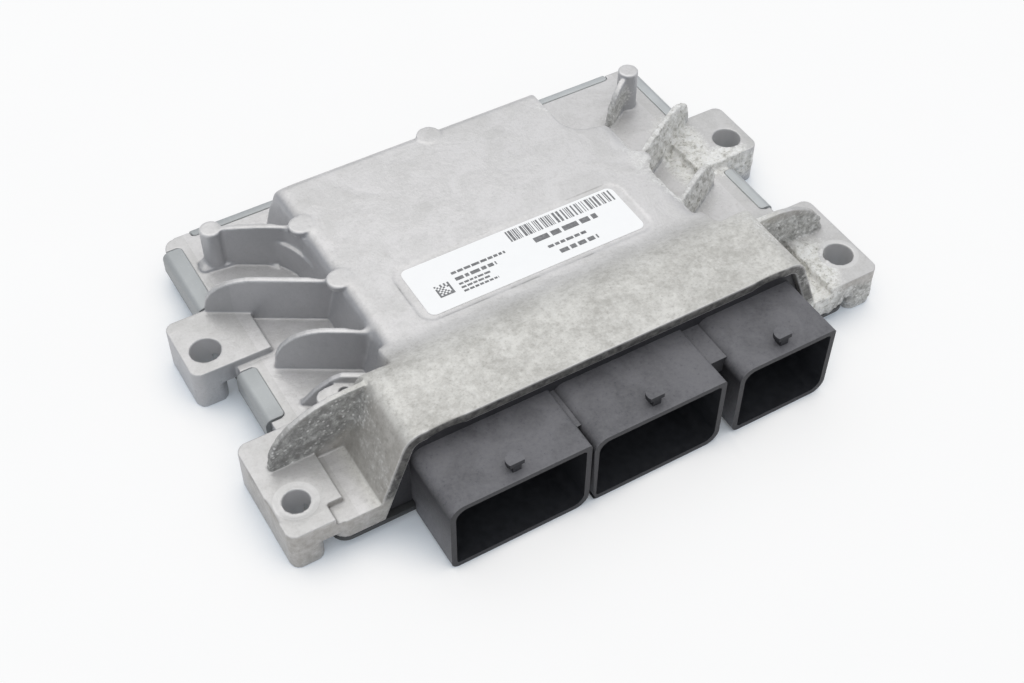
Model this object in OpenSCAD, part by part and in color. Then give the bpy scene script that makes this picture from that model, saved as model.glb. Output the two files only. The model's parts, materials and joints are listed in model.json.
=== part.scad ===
// Engine control unit: a die-cast cover crimped to a sheet base plate, with a three-pocket plug header.
// X runs along the row of pockets, +Y from the pocket mouths to the back edge, +Z up.
// The origin is on the mounting plane, under the middle of the whole unit.

/* [Flange] */
// Length of the cover's flange along X
flange_l = 159.2; // [154:0.2:176]
// Depth of the cover's flange along Y
flange_d = 112.5; // [110:0.5:126]
// Corner radius of the flange in plan
flange_corner_r = 4; // [2:0.5:6]
// Height of the flange's top face above the mounting plane
flange_top = 10.8; // [10.2:0.1:12]
// Thickness of the flange plate
flange_t = 2.4; // [1.8:0.1:3]
// Width of the rim that stands on the base plate
rim_w = 3.4; // [3:0.1:4.4]
// Depth of the step round the flange that takes the crimp tabs
rebate_d = 1.3; // [0.8:0.1:1.8]
// Wall thickness of the casting over the electronics
wall = 2.5; // [2:0.1:3.2]

/* [Plateau] */
// Length of the plateau's top along X
plateau_l = 96.6; // [90:0.2:104]
// Height of the plateau's top above the mounting plane
plateau_top = 27.2; // [25.8:0.1:28.4]
// Distance from the flange's back edge to the plateau's top edge
plateau_inset = 11.9; // [9:0.1:16]
// Draft angle of the plateau's walls
plateau_draft = 10; // [6:0.5:12]
// Radius of the plateau's shoulders
shoulder_r = 3.4; // [2.8:0.1:4]
// Length of the notch in the plateau's back right corner
notch_l = 12.5; // [9:0.5:14]
// Depth of that notch along Y
notch_d = 23; // [20:0.5:26]
// Corner radius inside that notch
notch_r = 8; // [4:0.5:8]

/* [Hood] */
// Length of the hood along X at the flange
hood_l = 134; // [130:0.5:138]
// Length of the hood's top along X
hood_top_l = 118; // [116:0.5:122]
// Height of the hood's top above the mounting plane
hood_top = 31.4; // [30.4:0.1:34]
// Wall thickness of the hood
hood_wall = 3.1; // [2.6:0.1:3.4]
// Depth of the hood's flat top from its mouth to the slope
hood_flat_d = 21.6; // [20:0.1:24]
// Depth of the slope from the hood down to the plateau
hood_slope_d = 8.5; // [6:0.5:11]
// Half length of the soft bend between the hood's flat top and its slope
hood_bend = 5; // [2:0.5:5.5]
// Distance from the hood's flat top back to the wall that closes its two ends
hood_end_d = 3.4; // [2.6:0.1:4.2]
// Radius of the hood's end shoulders
hood_r = 6; // [4:0.5:8]

/* [Mounting lugs] */
// Height of a lug from the mounting plane to its top face
lug_h = 13; // [12.4:0.1:15]
// How far a lug stands out from the flange
lug_reach = 12; // [11:0.1:15]
// Gap between a lug's foot and the flange's side
foot_gap = 2.7; // [2.2:0.1:3.5]
// Height of the underside of the web that joins a lug to the flange
lug_web_z = 6.8; // [5.6:0.1:8]
// Corner radius of a lug in plan
lug_r = 3; // [1.5:0.5:4]
// Distance from the flange's front edge to the front holes
front_hole_inset = 10.5; // [9.5:0.1:12]
// Spacing of front and rear holes along Y
hole_pitch_y = 56.2; // [53:0.2:60]
// Distance from the flange's side to a hole's axis
hole_out = 5.4; // [5:0.1:6]
// How much nearer the middle the front right lug stands
right_shift = 2; // [0:0.1:2.4]
// Diameter of the locating hole in the front left lug
locating_hole_d = 7; // [6:0.1:7.6]
// Diameter of the three other lug holes
bolt_hole_d = 8.4; // [6.4:0.1:8.8]
// Diameter of the spot face round the locating hole
spot_face_d = 11.8; // [10.5:0.1:12]

/* [Ribs] */
// Thickness of a rib
rib_t = 1.8; // [1.4:0.1:2.6]
// Angle between the side ribs and the X axis
rib_angle = 31; // [26:1:35]
// Height of the side ribs' top edge above the mounting plane
rib_top = 25.4; // [22:0.1:25.8]
// Spacing along Y of the two rear side ribs
rear_rib_pitch = 23.6; // [22:0.2:26]
// Spacing along Y of the two front side ribs
front_rib_pitch = 20.9; // [19:0.1:22.5]
// Diameter of the round pads at the ribs' inner ends
pad_d = 7.2; // [5:0.1:8]
// Diameter of the post at the outer end of the rearmost rib
post_d = 6.2; // [5:0.1:7.4]

/* [Base plate] */
// Sheet thickness of the base plate
sheet_t = 1.5; // [1:0.1:1.8]
// Height of the base plate's underside above the mounting plane
plate_z = 2.6; // [2:0.1:3]
// Outer bend radius of a crimp tab
bend_r = 2.2; // [1.6:0.1:2.4]
// Width of the left crimp tabs where they lie on the flange
left_fold_w = 3.8; // [3:0.1:4.2]
// Width of the right crimp tabs where they lie on the flange
right_fold_w = 2.4; // [2:0.1:3]
// Width of the back crimp tabs where they lie on the flange
back_fold_w = 1.6; // [1.4:0.1:2.2]

/* [Plug header] */
// How far the pocket mouths stand in front of the flange
header_reach = 18.6; // [17:0.1:24]
// Outer width of the two wide pockets
wide_pocket_w = 39.6; // [38.6:0.1:39.8]
// Outer width of the narrow pocket
narrow_pocket_w = 30.3; // [29:0.1:31.4]
// Gap between the two wide pockets
pocket_gap = 0.7; // [0.5:0.1:1]
// Outer width of the whole row of pockets
pocket_row_w = 114.7; // [113.6:0.1:115.4]
// Height of the pockets' underside above the mounting plane
pocket_z = 0.2; // [0.1:0.1:1]
// Outer height of a pocket
pocket_h = 23.8; // [22:0.1:24.4]
// Wall thickness of a pocket
pocket_wall = 1.5; // [1.1:0.1:2]
// Radius of the two keyed corners of a pocket
key_r = 4; // [2.5:0.1:5]
// Thickness of the floor behind a pocket
pocket_floor = 2; // [1.4:0.1:2.4]
// Thickness of the header's sealing flange
header_flange_t = 4; // [3:0.1:4.4]
// Thickness of the seal round that flange
seal_t = 0.6; // [0.4:0.1:1]

/* [Terminals] */
// Spacing of the terminals along a row
pin_pitch = 2.5; // [2:0.05:2.6]
// Width of a square terminal
pin_w = 0.64; // [0.5:0.02:0.8]
// Length of a terminal inside its pocket
pin_reach = 8; // [6:0.5:10]

/* [Circuit board] */
// Thickness of the circuit board
board_t = 1.6; // [1.2:0.1:1.8]
// Clearance between the board's edge and the rim
board_gap = 0.4; // [0.2:0.1:1]

/* [Label] */
// Length of the label
label_l = 66.7; // [50:0.1:74]
// Width of the label
label_w = 18.2; // [12:0.1:20]
// Thickness of the label
label_t = 0.15; // [0.1:0.01:0.3]

/* [Hidden] */
$fn = 48;
eps = 0.01;

// Main planes of the assembly
half_l = flange_l / 2;
total_d = header_reach + flange_d + sheet_t;
mouth_y = -total_d / 2;
front_y = mouth_y + header_reach;
back_y = front_y + flange_d;
plate_top = plate_z + sheet_t;
flange_under = flange_top - flange_t;
rebate_z = flange_top - rebate_d;
tab_top = rebate_z + sheet_t;

// Plateau
plateau_half = plateau_l / 2;
plateau_slope = tan(plateau_draft);
plateau_back_y = back_y - plateau_inset;

// Hood: its mouth is flush with the flange, and its sides lean by hood_slope for each millimetre of height
hood_flat_y = front_y + hood_flat_d;
hood_slope_y = hood_flat_y + hood_slope_d;
hood_foot_y = hood_slope_y + 5;
foot_bend = 3.4;
bend_steps = 6;
hood_slope = (hood_l - hood_top_l) / 2 / (hood_top - flange_top);
hood_end_x = plateau_half + 2.4;
hood_end_lean = 0.13;

// Lugs
lug_x = half_l + lug_reach;
foot_x = half_l + foot_gap;
hole_x = half_l + hole_out;
front_hole_y = front_y + front_hole_inset;
rear_hole_y = front_hole_y + hole_pitch_y;
front_lug_back = 22.6;
rear_lug_front = 7.7;
rear_lug_back = 13.7;
front_pad_in = 4.8;
rear_pad_in = 10.4;
front_lug_y = [front_y + 0.3, front_hole_y + front_lug_back];
rear_lug_y = [rear_hole_y - rear_lug_front, rear_hole_y + rear_lug_back];
front_pad_x = half_l - front_pad_in;
rear_pad_x = half_l - rear_pad_in;
pad_cut = 5.8;
spot_face_deep = 0.4;

// Ribs of the left flange, given by the point where each one meets the plateau
rib_foot_z = flange_top - flange_t / 2;
rear_rib_in = 15.4;
rear_rib_y = plateau_back_y - rear_rib_in;
side_rib_l = [36, 26];
side_rib_round = 15;
rib_root = 3;
rib_y = [rear_rib_y, rear_rib_y - rear_rib_pitch, rear_rib_y - rear_rib_pitch - front_rib_pitch];
pad_x = plateau_half - 0.6;
pad_set = 1.8;
pad_top = plateau_top + 0.1;
pad_deep = 2;
post_top = rib_top - 1.3;
post_run = 24;
post_x = plateau_half + post_run * cos(rib_angle);
post_y = rib_y[0] + post_run * sin(rib_angle);
lug_rib_y = front_hole_y + 11.8;
lug_rib_top = hood_top - 1.5;
lug_rib_root = 2;
left_lug_rib_x = hole_x + 1.8;
left_lug_rib_round = 22;
right_lug_rib_x = hole_x - right_shift + 2.2;
right_lug_rib_round = 20;
right_lug_rib_drop = 3;
right_post_rib_l = 13;
right_post_rib_round = 11;

// Low rib and solid shelf behind the hood's left end; the crest is [distance, height over the flange]
ear_rib_y = rib_y[2] - 14.6;
ear_rib_crest = [[25.9, 0], [25.1, 1.1], [21.6, 5.8], [19.4, 8], [16.9, 10.3], [14.3, 11.7]];
shelf_top = flange_top + 9.4;
shelf_x = hood_l / 2 + 2;
shelf_r = 3;
shelf_back_y = hood_slope_y + 3.2;
shelf_hole_d = 3;
shelf_hole_deep = 5;
shelf_hole_x = hood_l / 2 - 5.4;

// Round gusset in front of the left rear rib, and the low step beside it
gusset_r = 24;
gusset_top = rib_top - 5.4;
gusset_out = 1.6;
gusset_front = 11.4;
gusset_reach = 7.2;
step_up = 0.6;
step_reach = 5.4;

// Base plate tabs as [start, end] along each edge
tab_gap = 2.4;
tab_corner = flange_corner_r + 0.5;
tab_r = 1.2;
seat_gap = 0.3;
side_tabs = [
    [front_lug_y[1] + 2 * tab_gap, rear_lug_y[0] - tab_gap],
    [rear_lug_y[1] + tab_gap, back_y - tab_corner]
];
back_tabs = [[-half_l + 2 * tab_corner, -2 * tab_gap], [2 * tab_gap, half_l - 2 * tab_corner]];

// Sealant groove in the rim's underside
groove_w = 1.6;
groove_deep = 0.9;
groove_in = (rim_w - groove_w) / 2;
opening_half = hood_top_l / 2 + (hood_top - plate_top) * hood_slope;

// Plug header
header_set = 1.8;
header_face_y = front_y + header_set;
header_back_y = header_face_y + header_flange_t;
header_z = plate_top + seal_t;
seal_set = 0.5;
floor_y = header_back_y - pocket_floor;
pocket_back_y = front_y - 0.1;
step_y = pocket_back_y - pocket_wall;
step_z = header_z + pocket_wall;
pocket_top = pocket_z + pocket_h;
row_shift = 0.65;
row_x = [-pocket_row_w / 2 - row_shift, pocket_row_w / 2 - row_shift];
pocket_x = [row_x[0], row_x[0] + wide_pocket_w + pocket_gap, row_x[1] - narrow_pocket_w];
pocket_w = [wide_pocket_w, wide_pocket_w, narrow_pocket_w];
pocket_columns = [12, 12, 8];
small_r = 1;
web_drop = 1.2;
web_t = 2.2;
web_reach = 12.9;
latch_y = mouth_y + 3.8;
latch_stem = 2.4;
latch_d = 4.8;
latch_flat = 1.3;
latch_rise = 2;
latch_cap_t = 1.4;

// Terminals
pin_rows = 4;
row_z0 = flange_under + 1.8;
leg_y0 = header_back_y + 2.7;
pin_tip_y = floor_y - pin_reach;
pin_tail = 1;
pin_hole_d = pin_w * 1.6;

// Circuit board and what stands on it
board_top = flange_under;
board_z = board_top - board_t;
board_half = half_l - rim_w - board_gap;
board_front_y = header_back_y + 0.6;
board_back_y = back_y - rim_w - board_gap;
lead_w = 0.5;
lead_t = 0.25;
lead_out = 1.2;

// Places on the board are counted in cells from the middle; small_row and power_row are the outermost rows
cell = 4.03;
small_row = -9.5;
power_row = 5.8;
chip_h = 3.2;
thin_chip_h = 2;
mcu_w = 24;
driver_w = 14;
driver_d = 10;
memory_w = 8;
memory_d = 11;
bus_w = 5;
bus_d = 4;
pack_w = 10;
pack_d = 9;
pack_h = 4.5;
pack_tab = 1.3;
pack_leg = 4;
can_d = 12.5;
can_h = 12.5;
can_base = 13.2;
coil_d = 10;
coil_h = 7.5;
coil_base = 11;
crystal_l = 11.2;
crystal_w = 4.6;
crystal_h = 3.6;
chip_cap_h = 1.1;
chip_res_h = 0.6;
small_w = 1.3;
small_l = 2;
small_pitch = 3;
pad_side = 12;

// The rows lie between the terminals' legs and the plateau's back wall; part of the spare room is in front
front_share = 0.73;
legs_end = leg_y0 + (pin_rows - 1) * pin_pitch + pin_w / 2;
rows_d = (power_row - small_row) * cell + small_l / 2 + pack_d / 2 + pack_tab;
rows_room = plateau_back_y - wall - legs_end - rows_d;
rows_y = legs_end + front_share * rows_room + small_l / 2 - small_row * cell;

label_y = hood_slope_y + 5.4 + label_w / 2;
label_r = 2;
label_recess = 0.2;
label_margin = [2.6, 1.6];

alu = "#c9c8c4";
steel = "#b4b8b9";
plastic_black = "#2b2a2e";
tin = "#c8b98a";
chip_black = "#1d1d20";

// Plan outline of a rectangle with round corners
module rounded_rect(x0, x1, y0, y1, r) {
    translate([x0 + r, y0]) square([x1 - x0 - 2 * r, y1 - y0]);
    translate([x0, y0 + r]) square([x1 - x0, y1 - y0 - 2 * r]);
    for (x = [x0 + r, x1 - r], y = [y0 + r, y1 - r]) translate([x, y]) circle(r);
}

// Section with leaning sides and round shoulders, from z0 up to z1
module taper_profile(z0, z1, half_top, slope, r) {
    lean = atan(slope);
    half_foot = half_top + (z1 - z0) * slope;
    cx = half_top + r * slope - r / cos(lean);
    side = [cx + r * cos(lean), z1 - r + r * sin(lean)];
    polygon([[-half_foot, z0], [half_foot, z0], side, [cx, z1], [-cx, z1], [-side.x, side.y]]);
    for (s = [-1, 1]) translate([s * cx, z1 - r]) circle(r);
}

// Section of a plug pocket: two opposite corners are keyed with a large radius
module keyed_rect(x0, x1, z0, z1, r_key, r_small) {
    polygon([
        [x0 + r_small, z0], [x1 - r_key, z0], [x1, z0 + r_key], [x1, z1 - r_small],
        [x1 - r_small, z1], [x0 + r_key, z1], [x0, z1 - r_key], [x0, z0 + r_small]
    ]);
    translate([x0 + r_small, z0 + r_small]) circle(r_small);
    translate([x1 - r_small, z1 - r_small]) circle(r_small);
    translate([x1 - r_key, z0 + r_key]) circle(r_key);
    translate([x0 + r_key, z1 - r_key]) circle(r_key);
}

// Sweeps an XZ section along Y, or a YZ section along X
module along_y(y0, y1) {
    translate([0, y1, 0]) rotate([90, 0, 0]) linear_extrude(y1 - y0) children();
}
module along_x(x0, x1) {
    translate([x0, 0, 0]) rotate([90, 0, 90]) linear_extrude(x1 - x0) children();
}
module box(x0, x1, y0, y1, z0, z1) {
    translate([x0, y0, z0]) cube([x1 - x0, y1 - y0, z1 - z0]);
}

// Section of the hood, moved inwards by inset
module hood_profile(inset, z0) {
    half_top = hood_top_l / 2 + inset * hood_slope - inset / cos(atan(hood_slope));
    taper_profile(z0, hood_top - inset, half_top, hood_slope, max(hood_r - inset, small_r / 4));
}

// Plateau block, moved inwards by inset
module plateau_block(inset, z0) {
    lean_inset = inset / cos(plateau_draft);
    half_x = plateau_half + inset * plateau_slope - lean_inset;
    y_front = front_y + hood_flat_d / 2;
    y_mid = (plateau_back_y + y_front) / 2;
    half_y = (plateau_back_y - y_front) / 2 + inset * plateau_slope - lean_inset;
    r = max(shoulder_r - inset, 0.4);
    difference() {
        intersection() {
            along_y(y_front - inset, back_y)
                taper_profile(z0, plateau_top - inset, half_x, plateau_slope, r);
            along_x(-half_l, half_l) translate([y_mid, 0])
                taper_profile(z0, plateau_top - inset, half_y, plateau_slope, r);
        }
        notch_x = plateau_half - notch_l - inset;
        notch_y = plateau_back_y - notch_d - inset;
        translate([0, 0, flange_under - eps]) linear_extrude(plateau_top)
            rounded_rect(notch_x, half_l + notch_r, notch_y, back_y + notch_r, notch_r);
    }
}

// Points of a soft bend from a to c round the corner b
function soft_bend(a, b, c) = [
    for (i = [0:bend_steps]) let (t = i / bend_steps) pow(1 - t, 2) * a + 2 * t * (1 - t) * b + t * t * c
];

// Hood over the plugs: flat top, soft slope down to the plateau, and a leaning back wall at both ends
module hood_block(inset, y0, z0) {
    end_y = hood_flat_y + hood_end_d - inset;
    foot_y = end_y + (hood_top - z0) * hood_end_lean;
    crest = [hood_flat_y, hood_top - inset];
    foot = [hood_slope_y - inset, plateau_top - inset];
    down = (foot - crest) / norm(foot - crest);
    difference() {
        intersection() {
            along_y(y0, hood_foot_y) hood_profile(inset, z0);
            along_x(-half_l, half_l) polygon(concat(
                [[y0, z0], [y0, hood_top - inset]],
                soft_bend(crest - [hood_bend, 0], crest, crest + hood_bend * down),
                soft_bend(foot - foot_bend * down, foot, foot + [foot_bend, 0]),
                [[hood_foot_y - inset, z0]]
            ));
        }
        for (s = [0, 1]) mirror([s, 0, 0]) along_x(hood_end_x - inset, half_l) polygon([
            [end_y, hood_top], [foot_y, z0 - eps], [hood_foot_y + 1, z0 - eps], [hood_foot_y + 1, hood_top]
        ]);
    }
}

// Upright rib on the line that leaves start at angle, its tip rounded down to tip_z
module rib(start, angle, length, top, tip_z, run, embed) {
    tip = [for (i = [0:8]) [length - run + run * cos(i * 11.25), tip_z + (top - tip_z) * sin(i * 11.25)]];
    translate([start.x, start.y, 0]) rotate([90, 0, angle]) translate([0, 0, -rib_t / 2]) linear_extrude(rib_t)
        polygon(concat([[-embed, top], [-embed, rib_foot_z], [length, rib_foot_z]], tip));
}

// Ribs that both side flanges carry, drawn for the left side
module side_ribs() {
    outward = 180 - rib_angle;
    rib([-plateau_half, rib_y[1]], outward, side_rib_l[0], rib_top, lug_h + 2, side_rib_round, rib_root);
    rib([-plateau_half, rib_y[2]], outward, side_rib_l[1], rib_top, flange_top + 2, side_rib_round, rib_root);
    translate([-pad_x, rib_y[1] - pad_set, pad_top - pad_deep]) cylinder(d = pad_d, h = pad_deep);
    translate([-post_x, post_y, rib_foot_z]) cylinder(d = post_d, h = post_top - rib_foot_z);
}

// Left rear rib from the post to the plateau, with a wide round gusset in front of it
module left_post_rib() {
    rib([-plateau_half, rib_y[0]], 180 - rib_angle, post_run, rib_top, post_top - 1, post_run - 4, rib_root);
    translate([-pad_x, rib_y[0] - pad_set, pad_top - pad_deep]) cylinder(d = pad_d, h = pad_deep);
    mid = [-plateau_half - gusset_out - gusset_r, rib_y[0] - gusset_front];
    reach = [gusset_reach * cos(rib_angle), gusset_reach * sin(rib_angle)];
    translate([0, 0, rib_foot_z]) linear_extrude(gusset_top - rib_foot_z) difference() {
        polygon([
            [-plateau_half + 1, mid.y], [-plateau_half + 1, rib_y[0] - 0.6], [-plateau_half, rib_y[0]],
            [-plateau_half - reach.x, rib_y[0] + reach.y], [mid.x, mid.y]
        ]);
        translate(mid) circle(gusset_r);
    }
    // Low step on the flange that carries the gusset's curve on to the post
    translate([0, 0, rib_foot_z]) linear_extrude(flange_top + step_up - rib_foot_z) difference() {
        polygon([
            [-post_x - step_reach, post_y], [-post_x - step_reach, post_y - step_reach],
            [-plateau_half - reach.x, rib_y[0]], [-plateau_half - reach.x, rib_y[0] + reach.y],
            [-post_x, post_y]
        ]);
        translate(mid) circle(gusset_r - 1);
    }
}

// Right rear rib: it runs down to the flange before it reaches the notch
module right_post_rib() {
    rib([post_x, post_y], 180 + rib_angle, right_post_rib_l, post_top - 1, flange_top, right_post_rib_round, 0);
}

// Shelf behind the hood's left end, with a low rib along its back
module ear_shelf() {
    back_y = ear_rib_y + (shelf_x - plateau_half) * tan(rib_angle);
    translate([0, 0, rib_foot_z]) linear_extrude(shelf_top - rib_foot_z) intersection() {
        rounded_rect(-shelf_x, -plateau_half, lug_rib_y - shelf_r, shelf_back_y, shelf_r);
        polygon([
            [-shelf_x, lug_rib_y], [-shelf_x, back_y], [-plateau_half, ear_rib_y], [-plateau_half, lug_rib_y]
        ]);
    }
    crest = [for (c = ear_rib_crest) [c.x, flange_top + c.y]];
    top = crest[len(crest) - 1].y;
    translate([-plateau_half, ear_rib_y, 0]) rotate([90, 0, 180 - rib_angle]) translate([0, 0, -rib_t / 2])
        linear_extrude(rib_t)
            polygon(concat([[-rib_root, top], [-rib_root, rib_foot_z], [crest[0].x, rib_foot_z]], crest));
}

// One mounting lug: a foot outside the flange and a pad that runs in over it
module lug(span, pad_x) {
    linear_extrude(lug_h) rounded_rect(foot_x, lug_x, span[0], span[1], lug_r);
    box(pad_x, lug_x - lug_r, span[0] + eps, span[1] - eps, lug_web_z, lug_h);
}

module lug_holes(d, x, y) {
    translate([x, y, -1]) cylinder(d = d, h = lug_h + 2);
}

module flange_body() {
    translate([0, 0, plate_top]) linear_extrude(flange_top - plate_top)
        rounded_rect(-half_l, half_l, front_y, back_y, flange_corner_r);
}

// Shallow seats in the flange's edge that the crimp tabs lie in
module tab_seats() {
    far = 2 * bend_r;
    left_x = -half_l + left_fold_w + seat_gap;
    right_x = half_l - right_fold_w - seat_gap;
    seat_y = back_y - back_fold_w - seat_gap;
    translate([0, 0, rebate_z]) linear_extrude(lug_h) {
        for (t = side_tabs) {
            rounded_rect(-half_l - far, left_x, t[0] - seat_gap, t[1] + seat_gap, tab_r);
            rounded_rect(right_x, half_l + far, t[0] - seat_gap, t[1] + seat_gap, tab_r);
        }
        for (t = back_tabs)
            rounded_rect(t[0] - seat_gap, t[1] + seat_gap, seat_y, back_y + far, tab_r);
    }
}

module groove_ring(inset) {
    difference() {
        near_r = flange_corner_r - inset / 2;
        rounded_rect(-half_l + inset, half_l - inset, front_y + inset, back_y - inset, near_r);
        far = inset + groove_w;
        rounded_rect(-half_l + far, half_l - far, front_y + far, back_y - far, flange_corner_r - far / 2);
        translate([-opening_half - 1, front_y - 1]) square([2 * opening_half + 2, flange_d / 2]);
    }
}

module cover() {
    color(alu) difference() {
        union() {
            flange_body();
            plateau_block(0, rib_foot_z);
            hood_block(0, front_y, plate_top);
            side_ribs();
            mirror([1, 0, 0]) side_ribs();
            left_post_rib();
            right_post_rib();
            ear_shelf();
            rib([-hood_top_l / 2, lug_rib_y], 180, left_lug_rib_x - hood_top_l / 2, lug_rib_top,
                lug_h + 2, left_lug_rib_round, lug_rib_root);
            rib([hood_top_l / 2, lug_rib_y], 0, right_lug_rib_x - hood_top_l / 2,
                lug_rib_top - right_lug_rib_drop, lug_h, right_lug_rib_round, lug_rib_root);
            mirror([1, 0, 0]) lug(front_lug_y, front_pad_x);
            translate([-right_shift, 0, 0]) lug(front_lug_y, front_pad_x);
            lug(rear_lug_y, rear_pad_x);
            mirror([1, 0, 0]) lug(rear_lug_y, rear_pad_x);
            translate([0, plateau_back_y - 2.2, plateau_top - pad_deep])
                cylinder(d = pad_d, h = pad_deep + 0.2);
        }
        // Space for the board inside the rim
        box(-half_l + rim_w, half_l - rim_w, front_y + rim_w, back_y - rim_w, plate_top - 1, flange_under);
        // Hollows under the plateau and the hood, open to the board
        plateau_block(wall, flange_under - 1);
        hood_block(hood_wall, front_y - 1, plate_top - 1);
        tab_seats();
        translate([0, 0, plate_top - eps]) linear_extrude(groove_deep + eps) groove_ring(groove_in);
        lug_holes(locating_hole_d, -hole_x, front_hole_y);
        lug_holes(bolt_hole_d, hole_x - right_shift, front_hole_y);
        for (s = [-1, 1]) lug_holes(bolt_hole_d, s * hole_x, rear_hole_y);
        translate([-hole_x, front_hole_y, lug_h - spot_face_deep]) cylinder(d = spot_face_d, h = 1);
        translate([-shelf_hole_x, hood_slope_y - 0.2, shelf_top - shelf_hole_deep])
            cylinder(d = shelf_hole_d, h = shelf_hole_deep + 1);
        // Cut-back corner of the left front pad
        box(-half_l + 0.6, -front_pad_x + 1, front_y - 1, front_y + pad_cut, flange_top, lug_h + 1);
        // Shallow field that the label is stuck in
        translate([0, 0, plateau_top - label_recess]) linear_extrude(1)
            label_outline(label_margin.x, label_margin.y, 2 * label_r);
    }
}

// Section of a crimp tab on the right edge: up the flange's side, round the bend and over the seat
module tab_profile(edge, fold) {
    far = 4 * bend_r;
    difference() {
        rounded_rect(edge - far, edge + sheet_t, plate_z, tab_top, bend_r);
        translate([edge - far - 1, plate_top]) square([far + 1, rebate_z - plate_top]);
        translate([edge - far - 1, plate_z - 1]) square([far + 1 - fold, tab_top]);
    }
}

// One crimp tab between two places along the right edge, with its free corners rounded
module side_tab(t, fold) {
    intersection() {
        along_y(t[0], t[1]) tab_profile(half_l, fold);
        linear_extrude(tab_top + 1) rounded_rect(half_l - fold, half_l + 4 * bend_r, t[0], t[1], tab_r);
    }
}

module base_plate() {
    color(steel) union() {
        translate([0, 0, plate_z]) linear_extrude(sheet_t) difference() {
            rounded_rect(-half_l, half_l, front_y, back_y, flange_corner_r);
            translate([hole_x - right_shift, front_hole_y]) circle(d = bolt_hole_d + 0.6);
        }
        for (t = side_tabs) {
            side_tab(t, right_fold_w);
            mirror([1, 0, 0]) side_tab(t, left_fold_w);
        }
        for (t = back_tabs) intersection() {
            along_x(t[0], t[1]) tab_profile(back_y, back_fold_w);
            linear_extrude(tab_top + 1)
                rounded_rect(t[0], t[1], back_y - back_fold_w, back_y + 4 * bend_r, tab_r);
        }
    }
}

// Middles of one pocket's terminals as [x, row number]
function pin_places(i) = [
    for (c = [0:pocket_columns[i] - 1], r = [0:pin_rows - 1])
        [pocket_x[i] + pocket_w[i] / 2 + (c - (pocket_columns[i] - 1) / 2) * pin_pitch, r]
];
function row_z(r) = row_z0 + r * pin_pitch;
function leg_y(r) = leg_y0 + r * pin_pitch;

// Wall round a pocket; above the base plate a neck joins it to the sealing flange
module pocket_outside(i) {
    x0 = pocket_x[i];
    x1 = pocket_x[i] + pocket_w[i];
    along_y(mouth_y, pocket_back_y) keyed_rect(x0, x1, pocket_z, pocket_top, key_r, small_r);
    along_y(step_y, header_face_y + eps) keyed_rect(x0, x1, header_z, pocket_top, key_r, small_r);
}

// Hollow of a pocket: above the base plate it runs on into the sealing flange
module pocket_inside(i) {
    x0 = pocket_x[i] + pocket_wall;
    x1 = pocket_x[i] + pocket_w[i] - pocket_wall;
    z0 = pocket_z + pocket_wall;
    z1 = pocket_top - pocket_wall;
    inner_r = key_r - pocket_wall / 2;
    along_y(mouth_y - 1, step_y) keyed_rect(x0, x1, z0, z1, inner_r, small_r);
    along_y(step_y - 1, floor_y) keyed_rect(x0, x1, step_z, z1, inner_r, small_r);
}

module latch(i) {
    x = pocket_x[i] + pocket_w[i] / 2;
    box(x - latch_stem / 2, x + latch_stem / 2, latch_y - latch_stem / 2, latch_y + latch_stem / 2,
        pocket_top - 0.5, pocket_top + latch_rise + 0.2);
    // The cap is round at the back and cut straight in front
    translate([x, latch_y, pocket_top + latch_rise]) linear_extrude(latch_cap_t) difference() {
        circle(d = latch_d);
        translate([-latch_d / 2, -latch_d]) square([latch_d, latch_d - latch_flat]);
    }
}

module web(i) {
    x0 = pocket_x[i] + pocket_w[i];
    box(x0 - pocket_wall / 2, pocket_x[i + 1] + pocket_wall / 2, header_face_y - web_reach,
        header_face_y + eps, pocket_top - key_r - web_t, pocket_top - web_drop);
}

module connector_header() {
    color(plastic_black) difference() {
        union() {
            along_y(header_face_y, header_back_y) hood_profile(hood_wall + seal_t, header_z);
            for (i = [0:2]) {
                pocket_outside(i);
                latch(i);
            }
            for (i = [0:1]) web(i);
        }
        for (i = [0:2]) {
            pocket_inside(i);
            for (p = pin_places(i)) box(p.x - pin_w / 2, p.x + pin_w / 2, floor_y - 1, header_back_y + 1,
                row_z(p.y) - pin_w / 2, row_z(p.y) + pin_w / 2);
        }
    }
}

module header_seal() {
    color("#3a3a3c") along_y(header_face_y + seal_set, header_back_y - seal_set) difference() {
        hood_profile(hood_wall, plate_top);
        hood_profile(hood_wall + seal_t, header_z);
    }
}

module flange_sealant() {
    color("#55585a") translate([0, 0, plate_top]) linear_extrude(groove_deep) groove_ring(groove_in);
}

// Outline of the label, made larger by grow_x and grow_y
module label_outline(grow_x, grow_y, r) {
    half_x = label_l / 2 + grow_x;
    half_y = label_w / 2 + grow_y;
    rounded_rect(-half_x, half_x, label_y - half_y, label_y + half_y, r);
}

module label() {
    color("white") translate([0, 0, plateau_top - label_recess]) linear_extrude(label_t)
        label_outline(0, 0, label_r);
}

// Right-angle terminals: a blade through the header and a leg down through the board
module pins(i) {
    color(tin) for (p = pin_places(i)) {
        x0 = p.x - pin_w / 2;
        x1 = p.x + pin_w / 2;
        leg = leg_y(p.y);
        z = row_z(p.y);
        box(x0, x1, pin_tip_y, leg + pin_w / 2, z - pin_w / 2, z + pin_w / 2);
        box(x0, x1, leg - pin_w / 2, leg + pin_w / 2, board_z - pin_tail, z);
    }
}
module left_pins() { pins(0); }
module middle_pins() { pins(1); }
module right_pins() { pins(2); }

module circuit_board() {
    color("#1f5a38") difference() {
        translate([0, 0, board_z]) linear_extrude(board_t)
            rounded_rect(-board_half, board_half, board_front_y, board_back_y, 1);
        for (i = [0:2], p = pin_places(i))
            translate([p.x, leg_y(p.y), board_z - 1]) cylinder(d = pin_hole_d, h = board_t + 2, $fn = 16);
    }
}

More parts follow.
